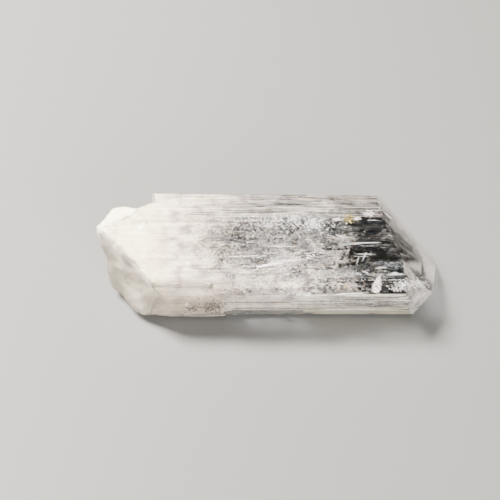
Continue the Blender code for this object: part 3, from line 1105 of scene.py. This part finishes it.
# White streaks close under the faces, some of them painted glints and a painted highlight: start and end as
# they show from the camera, thickness and depth in millimetres. Below zero, they lie on the faces.
STREAKS_AND_GLINTS = (
    ((206.0, 216.6), (344.0, 216.0), 0.07, 0.02),
    ((312.0, 211.6), (341.0, 211.0), 0.09, 0.02),
    ((215.0, 212.4), (243.0, 211.4), 0.08, 0.02),
    ((232.0, 273.2), (276.0, 272.8), 0.06, 0.02),
    ((331.0, 219.8), (346.0, 219.0), 0.46, 0.05),
    ((352.0, 219.5), (363.0, 218.6), 0.40, 0.05),
    ((341.0, 243.5), (384.0, 242.8), 0.20, 0.15),
    ((332.0, 234.0), (357.0, 239.5), 0.22, 0.25),
    ((326.0, 236.5), (350.0, 240.0), 0.18, 0.30),
    ((354.0, 254.6), (378.0, 254.4), 0.09, 0.30),
    ((352.0, 257.0), (371.0, 256.6), 0.07, 0.30),
    ((366.5, 251.5), (362.0, 262.0), 0.10, 0.30),
    ((359.0, 256.0), (356.0, 266.5), 0.07, 0.35),
    # A painted glint.
    ((389.0, 273.8), (402.0, 273.0), 0.34, 0.05),
    ((341.0, 274.0), (353.0, 276.5), 0.16, 0.25),
    ((360.0, 270.0), (369.0, 272.0), 0.14, 0.30),
    ((374.0, 268.0), (386.0, 266.5), 0.12, 0.30),
    ((333.0, 293.8), (374.0, 293.2), 0.22, 0.15),
    # The next four are painted glints on the faces.
    ((171.0, 283.6), (181.0, 283.0), 0.22, -0.02),
    ((203.0, 283.6), (213.5, 282.6), 0.24, -0.02),
    ((137.0, 222.4), (141.0, 222.2), 0.24, -0.02),
    ((144.0, 222.8), (149.0, 222.4), 0.28, -0.02),
    ((150.0, 249.6), (155.0, 250.6), 0.12, -0.02),
    ((145.0, 251.0), (149.0, 251.4), 0.10, -0.02),
    ((196.0, 268.0), (216.0, 267.6), 0.08, -0.01),
    ((167.0, 272.0), (196.0, 271.6), 0.08, -0.01),
    ((184.0, 276.0), (212.0, 275.4), 0.10, -0.01),
    ((155.0, 263.0), (176.0, 262.6), 0.08, -0.01),
    ((173.0, 291.0), (176.0, 288.6), 0.16, -0.02),
    ((206.0, 219.0), (216.0, 218.6), 0.20, -0.01),
    ((222.0, 219.6), (230.0, 220.6), 0.16, -0.01),
    ((382.0, 203.0), (424.0, 250.0), 0.08, 0.05),
    ((378.5, 209.0), (396.0, 222.0), 0.30, 0.05),
    # A painted highlight along the foot of the front.
    ((312.0, 309.6), (410.0, 309.0), 0.24, -0.01),
    ((248.0, 276.4), (258.0, 276.2), 0.22, 0.08),
    ((224.0, 280.0), (240.0, 280.4), 0.10, 0.08),
    ((282.0, 274.4), (292.0, 274.0), 0.16, 0.08),
    ((303.0, 295.6), (313.0, 295.4), 0.30, 0.08),
    ((262.0, 226.0), (272.0, 225.0), 0.22, 0.10),
)
# Dark gaps close under the faces, in the same way, as painted shade.
DASHES = (
    ((257.0, 235.0), (265.5, 236.6), 0.55, 0.02),
    ((290.0, 239.4), (300.0, 240.2), 0.40, 0.02),
    ((299.0, 244.8), (313.0, 244.4), 0.42, 0.02),
    ((313.0, 245.6), (322.0, 245.2), 0.12, 0.05),
    ((280.0, 218.0), (289.0, 218.4), 0.42, 0.02),
    ((299.0, 220.6), (305.0, 222.4), 0.55, 0.02),
    ((294.5, 229.4), (299.0, 228.8), 0.50, 0.02),
    ((291.0, 295.4), (297.5, 295.2), 0.26, 0.02),
    ((333.0, 292.2), (343.0, 292.1), 0.18, 0.02),
    ((318.0, 281.8), (326.0, 280.4), 0.26, 0.02),
    ((329.0, 279.4), (337.0, 279.0), 0.12, 0.05),
    ((322.0, 218.0), (333.0, 220.6), 0.60, 0.02),
    ((352.0, 246.4), (398.0, 246.0), 0.16, 0.10),
    ((246.0, 257.0), (252.0, 257.4), 0.12, 0.05),
    ((254.0, 259.4), (262.0, 258.6), 0.20, 0.05),
    ((252.0, 266.0), (258.0, 266.6), 0.14, 0.05),
    ((280.0, 198.0), (291.0, 197.8), 0.08, 0.03),
    ((262.0, 201.6), (276.0, 201.4), 0.08, 0.03),
    ((312.0, 207.4), (330.0, 207.0), 0.08, 0.03),
    ((346.0, 206.6), (372.0, 206.2), 0.10, 0.03),
    ((300.0, 277.0), (308.0, 277.8), 0.08, 0.03),
    ((244.0, 289.4), (250.0, 288.4), 0.12, 0.03),
    ((258.0, 286.0), (260.6, 290.4), 0.12, 0.03),
    ((236.0, 294.0), (243.0, 293.0), 0.10, 0.03),
)
# A streak thinner than this is a single needle. The others are bundles of this many strands.
NEEDLE_WIDTH = 0.12
STRANDS = 7


def lay_streaks(name, streaks, material):
    """Streaks, needles and wisps, with painted glints and painted shade among them, each a needle or a
    bundle of slivers laid between two places.
    """
    rng = random.Random(STREAK_SEED)
    placements = []
    for start, end, thickness, depth in streaks:
        first = beneath(start, depth)
        reach = beneath(end, depth) - first
        turn = reach.to_track_quat("X", "Z").to_matrix().to_4x4()
        bundled = thickness >= NEEDLE_WIDTH
        for _ in range(STRANDS if bundled else 1):
            low = rng.uniform(0.0, 0.5) if bundled else 0.0
            high = rng.uniform(low + 0.3, 1.0) if bundled else 1.0
            aside = Vector((0.0, rng.gauss(0.0, 0.3), rng.gauss(0.0, 0.15))) * thickness * MM * bundled
            middle = first + reach * (low + high) / 2 + turn.to_3x3() @ aside
            width = thickness * MM * (rng.uniform(0.3, 0.6) if bundled else 1.0)
            size = Matrix.Diagonal((reach.length * (high - low), width, width * 0.5, 1.0))
            placements.append(Matrix.Translation(middle) @ turn @ size)
    finish_slivers(name, placements, material)


# The feather's foot and point as they show from the camera, how deep they lie, its width and its cells.
FEATHER_BASE = (375.0, 293.0)
FEATHER_TIP = (380.5, 273.5)
FEATHER_DEPTHS = (0.25, 0.20)
FEATHER_WIDTH = 1.25
FEATHER_CELLS = (60, 12)
# Its outline: how wide the foot is, and how fast it tapers to the point.
FEATHER_FOOT = 0.34
FEATHER_TAPER = 1.1
# It arches up by this much, less at its sides, and is uneven by this much, in millimetres.
FEATHER_ARCH = 0.12
FEATHER_UNEVEN = 0.08
# Its ribs: how close they are, how far they lean back at the sides, and how strong they are.
RIB_FINENESS = 34.0
RIB_LEAN = 5.0
RIB_STRENGTH = 0.30
# Its look between the ribs, and how much it thins to the sides.
FEATHER_LOOK = (0.66, 0.5, 0.0)
FEATHER_RIM = 0.10


def build_feather(material):
    """A small leaf-shaped crack that stands up inside, near the tip."""
    base = beneath(FEATHER_BASE, FEATHER_DEPTHS[0])
    reach = beneath(FEATHER_TIP, FEATHER_DEPTHS[1]) - base
    rows, columns = FEATHER_CELLS
    bpy.ops.mesh.primitive_grid_add(x_subdivisions=rows, y_subdivisions=columns, size=1.0)
    feather = bpy.context.active_object
    feather.name = "feather"
    turn = reach.to_track_quat("X", "Z").to_matrix()
    solidity, brokenness, streaks = FEATHER_LOOK
    looks = []
    for vertex in feather.data.vertices:
        share = vertex.co.x + 0.5
        side = vertex.co.y * 2.0
        width = (FEATHER_FOOT + share) * (1.0 - share) ** FEATHER_TAPER * FEATHER_WIDTH * MM
        ripple = noise.noise(Vector((share * 6.0, side * 3.0, 2.0))) * FEATHER_UNEVEN
        lift = (FEATHER_ARCH - side * side * FEATHER_ARCH + ripple) * MM
        vertex.co = base + turn @ Vector((reach.length * share, side * width, lift))
        ribs = math.sin(share * RIB_FINENESS + abs(side) * RIB_LEAN) * RIB_STRENGTH
        looks.append((solidity + ribs - abs(side) * FEATHER_RIM, brokenness, streaks))
    write_look(feather, looks)
    finish_piece(feather, material)
    make_active(feather)
    bpy.ops.object.shade_smooth()


# ---------------------------------------------------------------- floor and light

# The floor's width in metres, how far it lies below the crystal in millimetres, and its finish.
FLOOR_WIDTH = 8.0
FLOOR_DROP = 0.02
FLOOR_GREY = (0.26, 0.26, 0.255, 1.0)
FLOOR_ROUGHNESS = 0.6
SKY_COLOUR = (0.5, 0.52, 0.55, 1.0)
SKY_STRENGTH = 0.10
# The lamps: name, place and size in metres, power in watts, and colour.
LAMPS = (
    ("key", (-0.19, 0.135, 0.27), 0.13, 7.1, (1.0, 0.955, 0.89)),
    ("fill", (0.14, -0.34, 0.07), 0.22, 3.7, (1.0, 0.98, 0.95)),
)


def build_floor():
    """A wide, pale, plain floor."""
    bpy.ops.mesh.primitive_plane_add(size=FLOOR_WIDTH, location=(0.0, 0.0, -FLOOR_DROP * MM))
    floor = bpy.context.active_object
    floor.name = "floor"
    material, _, shader = new_material("pale floor")
    shader.inputs["Base Color"].default_value = FLOOR_GREY
    shader.inputs["Roughness"].default_value = FLOOR_ROUGHNESS
    floor.data.materials.append(material)


def light_studio():
    """A dim sky, a warm key lamp from behind on the left and a low fill lamp from the front on the right."""
    world = bpy.data.worlds.new("studio")
    bpy.context.scene.world = world
    world.use_nodes = True
    background = world.node_tree.nodes["Background"]
    background.inputs["Color"].default_value = SKY_COLOUR
    background.inputs["Strength"].default_value = SKY_STRENGTH
    for name, place, size, power, colour in LAMPS:
        data = bpy.data.lights.new(name, "AREA")
        data.size = size
        data.energy = power
        data.color = colour
        lamp = add_object(name, data)
        lamp.location = place
        lamp.rotation_euler = (-Vector(place)).to_track_quat("-Z", "Y").to_euler()


deselect_all()
lines_group = growth_lines_group()
wisps = wisp_group(lines_group)
body = build_crystal(
    clear_faces("clear danburite", lines_group, UPPER_SHARE),
    smooth_tip(),
    frosted_break(),
    clear_faces("shaded underside", lines_group, LOWER_SHARE),
)
build_cloud(body, milk(lines_group, wisps), tip_haze(lines_group))
white, _, _ = patchy(*TUBE_WHITE)
# Painted shade for the open gaps.
grey, _, _ = patchy(*GAP_SHADE)
yellow, _, _ = patchy(*IRON_YELLOW)
brown, _, _ = patchy(*SPECK_BROWN)
build_tubes(white)
scatter_flakes("sparkles", SPARKLE_PATCHES, SPARKLE_SEED, silver_skin())
scatter_flakes("snow", SNOW_PATCHES, SNOW_SEED, white)
lay_streaks("white_streaks_and_glints", STREAKS_AND_GLINTS, white)
build_feather(veil_film(wisps))
scatter_flakes("iron_stain", STAIN_PATCHES, STAIN_SEED, yellow)
scatter_flakes("dark_specks", SPECK_PATCHES, SPECK_SEED, brown)
lay_streaks("dark_gaps", DASHES, grey)
scatter_flakes("gap_flecks", GAP_PATCHES, GAP_SEED, grey)
build_floor()
light_studio()
place_camera()
